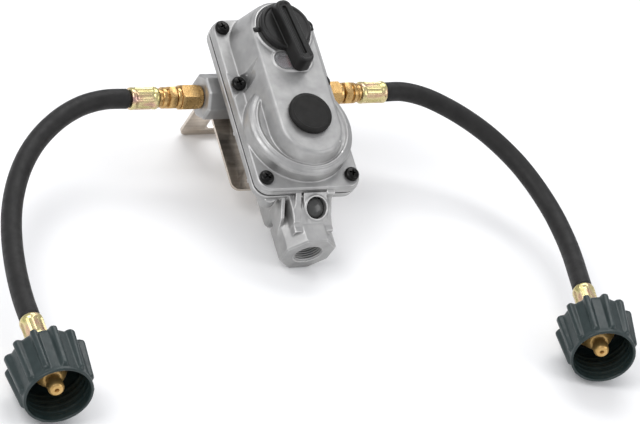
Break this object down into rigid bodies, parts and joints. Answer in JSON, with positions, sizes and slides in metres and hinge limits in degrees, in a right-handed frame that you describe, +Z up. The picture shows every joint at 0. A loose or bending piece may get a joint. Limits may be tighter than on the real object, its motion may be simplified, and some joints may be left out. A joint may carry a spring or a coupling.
{
  "type": "changeover gas regulator with pigtail hoses",
  "caption": "Automatic changeover gas regulator with a selector knob, indicator window, wall bracket and hose pigtails ending in handwheel nuts.",
  "frame": {"origin": "bottom centre of the regulator's own box, on the table it lies on, leaving out the hoses and what is on them", "axes": "+X to the right seen from the front face, +Y from the outlet towards the knob end, +Z up; the housing's own long axis rises 21.2 degrees towards +Y"},
  "size_m": [0.3962, 0.2545, 0.1194],
  "materials": {
    "cast_aluminium": "satin as-cast",
    "black_plastic": "semi-gloss moulded",
    "cap_plastic": "satin moulded",
    "black_steel": "black coated",
    "clear_lens": "clear polished plastic",
    "indicator_red": "dark red, matte",
    "brass": "turned, orange-gold",
    "yellow_zinc": "steel with yellow iridescent plating",
    "stainless": "bright sheet steel",
    "spring_steel": "bright wire and pressed plate",
    "rubber": "black, matte",
    "hose_rubber": "black cover with fabric texture",
    "green_nylon": "dark green, satin"
  },
  "bodies": {
    "housing": {"front_cover": "cast_aluminium", "rear_body": "cast_aluminium", "flange_gasket": "rubber", "mounting_bracket": "stainless", "bracket_screw_1": "stainless", "bracket_screw_2": "stainless", "stage_two_pin": "stainless", "rocker_pin": "stainless", "cover_screw_1": "black_steel", "cover_screw_2": "black_steel", "cover_screw_3": "black_steel", "cover_screw_4": "black_steel", "cover_screw_5": "black_steel", "cover_screw_6": "black_steel", "knob_retainer": "black_plastic", "port_plug": "black_plastic", "thermal_bushing_left": "black_plastic", "thermal_bushing_right": "black_plastic", "indicator_lens": "clear_lens", "stage_two_orifice": "brass", "hose_stem_left": "brass", "hose_stem_right": "brass", "nipple_left": "brass", "nipple_right": "brass", "inlet_spring_left": "spring_steel", "inlet_spring_right": "spring_steel", "near_ferrule_left": "yellow_zinc", "near_ferrule_right": "yellow_zinc", "far_ferrule_left": "yellow_zinc", "far_ferrule_right": "yellow_zinc", "hose_left": "hose_rubber", "hose_right": "hose_rubber"},
    "knob": {"changeover_knob": "black_plastic", "selector_shaft": "brass"},
    "rocker": {"selector_rocker": "brass"},
    "left_inlet_valve": {"inlet_valve_left": "rubber"},
    "right_inlet_valve": {"inlet_valve_right": "rubber"},
    "cap": {"adjuster_cap": "cap_plastic"},
    "adjuster": {"adjusting_screw": "brass"},
    "second_stage": {"stage_two_plate": "spring_steel", "stage_two_diaphragm": "rubber", "regulating_spring": "spring_steel"},
    "lever": {"stage_two_lever": "stainless"},
    "second_valve": {"stage_two_valve": "rubber"},
    "first_stage": {"stage_one_plate": "spring_steel", "stage_one_diaphragm": "rubber", "stage_one_spring": "spring_steel"},
    "flag": {"indicator_flag": "indicator_red"},
    "left_flare_nut": {"flare_nut_left": "brass"},
    "right_flare_nut": {"flare_nut_right": "brass"},
    "left_handwheel": {"acme_nut_left": "green_nylon"},
    "right_handwheel": {"acme_nut_right": "green_nylon"},
    "left_plunger": {"check_plunger_left": "stainless"},
    "right_plunger": {"check_plunger_right": "stainless"}
  },
  "joints": [
    {"name": "knob_turn", "type": "hinge", "parent": "housing", "child": "knob", "pos_m": [0, 0.03236, 0.10904], "axis": [0, -0.3616, 0.9323], "range_deg": [-98, 82]},
    {"name": "rocker_tilt", "type": "hinge", "parent": "housing", "child": "rocker", "pos_m": [0, 0.03384, 0.06349], "axis": [0, 0.9323, 0.3616], "range_deg": [-2.4, 2.4]},
    {"name": "left_inlet_valve_slide", "type": "slide", "parent": "housing", "child": "left_inlet_valve", "axis": [1, 0, 0], "range_m": [-0.0005, 0.0005]},
    {"name": "right_inlet_valve_slide", "type": "slide", "parent": "housing", "child": "right_inlet_valve", "axis": [1, 0, 0], "range_m": [-0.0005, 0.0005]},
    {"name": "cap_lift", "type": "slide", "parent": "housing", "child": "cap", "axis": [0, -0.3616, 0.9323], "range_m": [0, 0.01]},
    {"name": "adjuster_screw_travel", "type": "slide", "parent": "housing", "child": "adjuster", "axis": [0, -0.3616, 0.9323], "range_m": [0, 0.001]},
    {"name": "second_stage_travel", "type": "slide", "parent": "housing", "child": "second_stage", "axis": [0, 0.3616, -0.9323], "range_m": [-0.001, 0.001], "stiffness_N_per_m": 2000},
    {"name": "lever_tilt", "type": "hinge", "parent": "housing", "child": "lever", "pos_m": [0, -0.02096, 0.04438], "axis": [1, 0, 0], "range_deg": [-4.2, 4.2]},
    {"name": "second_valve_travel", "type": "slide", "parent": "housing", "child": "second_valve", "axis": [0, 0.9323, 0.3616], "range_m": [-0.0004, 0.0004]},
    {"name": "first_stage_travel", "type": "slide", "parent": "housing", "child": "first_stage", "axis": [0, 0.3616, -0.9323], "range_m": [-0.0008, 0.0008], "stiffness_N_per_m": 2000},
    {"name": "flag_travel", "type": "slide", "parent": "housing", "child": "flag", "axis": [0, 0.9323, 0.3616], "range_m": [-0.0025, 0.0025]},
    {"name": "left_plunger_travel", "type": "slide", "parent": "housing", "child": "left_plunger", "axis": [0.0802, 0.9968, 0], "range_m": [0, 0.0015], "stiffness_N_per_m": 200},
    {"name": "right_plunger_travel", "type": "slide", "parent": "housing", "child": "right_plunger", "axis": [0.2773, 0.9608, 0], "range_m": [0, 0.0015], "stiffness_N_per_m": 200},
    {"name": "left_flare_nut_spin", "type": "hinge", "parent": "housing", "child": "left_flare_nut", "pos_m": [-0.0477, 0.03792, 0.05295], "axis": [-1, 0, 0], "continuous": true},
    {"name": "left_handwheel_spin", "type": "hinge", "parent": "housing", "child": "left_handwheel", "pos_m": [-0.19709, -0.16056, 0.023], "axis": [-0.0802, -0.9968, 0], "continuous": true},
    {"name": "right_flare_nut_spin", "type": "hinge", "parent": "housing", "child": "right_flare_nut", "pos_m": [0.0477, 0.03792, 0.05295], "axis": [1, 0, 0], "continuous": true},
    {"name": "right_handwheel_spin", "type": "hinge", "parent": "housing", "child": "right_handwheel", "pos_m": [0.1456, -0.16315, 0.023], "axis": [-0.2773, -0.9608, 0], "continuous": true}
  ],
  "couplings": [
    {"joint": "rocker_tilt", "follows": "knob_turn", "ratio": 0.0224},
    {"joint": "left_inlet_valve_slide", "follows": "knob_turn", "m_per_rad": -0.000253},
    {"joint": "right_inlet_valve_slide", "follows": "knob_turn", "m_per_rad": -0.000253},
    {"joint": "lever_tilt", "follows": "second_stage_travel", "rad_per_m": -68.966},
    {"joint": "second_valve_travel", "follows": "second_stage_travel", "ratio": -0.3448},
    {"joint": "flag_travel", "follows": "first_stage_travel", "ratio": 3}
  ]
}
